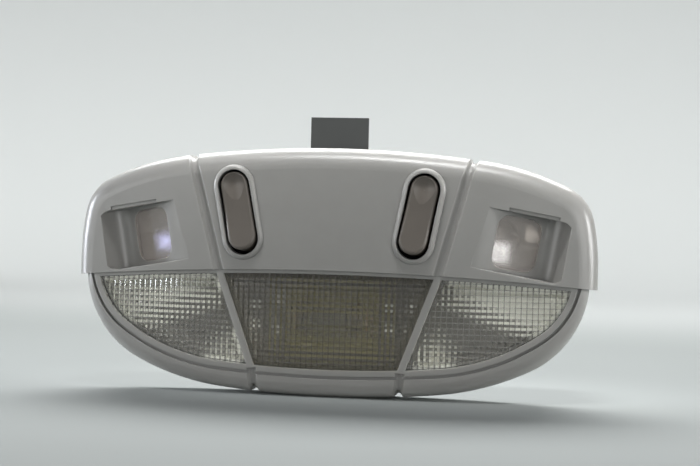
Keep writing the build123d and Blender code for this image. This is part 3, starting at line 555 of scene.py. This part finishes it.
# Background paper in a sweep: floor, a wide bend and a wall, grey in front and running to pale at the back
floor_level = cad_box[0][2]
sweep_half_width = 1.4
sweep_front = -1.0
sweep_bend = 0.7
sweep_wall = 1.5
sweep_top = 2.2
bend_start = sweep_wall - sweep_bend
bend_steps = 24
profile = [(sweep_front, 0.0), (bend_start, 0.0)]
for step in range(1, bend_steps + 1):
    turn = radians(90 * step / bend_steps)
    profile.append((bend_start + sweep_bend * sin(turn), sweep_bend * (1 - cos(turn))))
profile.append((sweep_wall, sweep_top))
sweep_mesh = bpy.data.meshes.new("paper_sweep")
rim = [(side * sweep_half_width, y, z + floor_level) for y, z in profile for side in (-1, 1)]
faces = [(2 * i, 2 * i + 1, 2 * i + 3, 2 * i + 2) for i in range(len(profile) - 1)]
sweep_mesh.from_pydata(rim, [], faces)
sweep_mesh.polygons.foreach_set("use_smooth", [True] * len(faces))
sweep_mesh.materials.append(
    graduated_paper("matt_graduated_paper", "#959A99", "#E6EAE9", start=0.25, end=0.92)
)
paper_sweep = bpy.data.objects.new("paper_sweep", sweep_mesh)
bpy.context.scene.collection.objects.link(paper_sweep)


def light_box(name, place, target, size, power, colour="#FFFFFF", spread=180):
    """A soft rectangular lamp aimed at a point, with its beam spread in degrees."""
    lamp = bpy.data.lights.new(name, "AREA")
    lamp.shape = "RECTANGLE"
    lamp.size, lamp.size_y = size
    lamp.energy = power
    lamp.color = linear(colour)[:3]
    lamp.spread = radians(spread)
    holder = bpy.data.objects.new(name, lamp)
    holder.location = place
    holder.rotation_euler = (Vector(target) - Vector(place)).to_track_quat("-Z", "Y").to_euler()
    bpy.context.scene.collection.objects.link(holder)


# Key from above and behind, which draws the top edge and throws the shadow forward
light_box(
    "key_box", place=(-0.1, 0.65, 0.85), target=(0, -0.15, floor_level), size=(1.2, 0.45), power=7.6,
    spread=100,
)
# Narrow strip close above the lamp, for the soft band along the upper rim
light_box(
    "rim_strip", place=(0.02, -0.06, 0.185), target=(0.02, -0.012, 0.066), size=(0.2, 0.02), power=0.033,
    spread=40,
)
# Two large boxes in front, far to each side, which light the face
face_centre = (0, -0.01, 0.015)
light_box("left_front_box", place=(-1.5, -1.5, 0.36), target=face_centre, size=(1.2, 0.75), power=10.2)
light_box("right_front_box", place=(1.5, -1.5, 0.36), target=face_centre, size=(1.2, 0.75), power=11.0)
# Upright boxes beside the lamp, which draw its two ends
upper_middle = (0, -0.01, 0.04)
light_box(
    "left_edge_box", place=(-0.9, 0.03, 0.15), target=upper_middle, size=(0.2, 0.4), power=0.42,
    colour="#F2F6FF", spread=40,
)
light_box(
    "right_edge_box", place=(0.9, 0.03, 0.18), target=upper_middle, size=(0.2, 0.4), power=0.3, spread=40
)
# Tiny lamps near the floor that the map windows mirror as one spot of light each
light_box(
    "left_spark", place=(-0.355, -0.073, -0.0144), target=(-0.064, -0.0122, 0.0276), size=(0.0065, 0.0075),
    power=5e-6, colour="#C9CCFF", spread=12,
)
light_box(
    "right_spark", place=(0.23, -0.118, -0.009), target=(0.0643, -0.0122, 0.027), size=(0.009, 0.009),
    power=7e-6, spread=12,
)
# Wide box high behind the lamp, for the backdrop
light_box(
    "backdrop_box", place=(-0.35, 0.6, 1.9), target=(-0.35, 1.1, 0.0), size=(3.0, 0.4), power=8.8, spread=70
)

# Room: adds little light, and is pale grey where the camera, a reflection or a lens looks past the paper
room_light = 0.05
room_seen = 0.5
world = bpy.data.worlds.new("studio")
bpy.context.scene.world = world
world.use_nodes = True
room = world.node_tree
ray = add_node(room, "ShaderNodeLightPath")
mirrored = add_node(room, "ShaderNodeMath", {"operation": "MAXIMUM"}, {
    0: ray.outputs["Is Glossy Ray"], 1: ray.outputs["Is Transmission Ray"],
})
seen = add_node(room, "ShaderNodeMath", {"operation": "MAXIMUM"}, {
    0: mirrored.outputs["Value"], 1: ray.outputs["Is Camera Ray"],
})
level = add_node(room, "ShaderNodeMapRange", None, {
    "Value": seen.outputs["Value"], "To Min": room_light, "To Max": room_seen,
})
room.nodes["Background"].inputs["Color"].default_value = linear("#EEF1F0")
room.links.new(level.outputs["Result"], room.nodes["Background"].inputs["Strength"])

# Camera: a little to the right of straight on, almost level, and rolled as the photograph is
camera_data = bpy.data.cameras.new("camera")
camera_data.lens = 81.0
camera_data.sensor_width = 36.0
camera = bpy.data.objects.new("camera", camera_data)
bpy.context.scene.collection.objects.link(camera)
azimuth = radians(9.7)
elevation = radians(0.6)
roll = radians(1.45)
distance = 0.6
target = Vector((6.3, -4.5, 32.7)) * mm
away = Vector((sin(azimuth) * cos(elevation), -cos(azimuth) * cos(elevation), sin(elevation)))
turn = (-away).to_track_quat("-Z", "Y").to_matrix() @ Matrix.Rotation(roll, 3, "Z")
camera.matrix_world = Matrix.Translation(target + away * distance) @ turn.to_4x4()
bpy.context.scene.camera = camera
bpy.context.scene.view_settings.view_transform = "Standard"
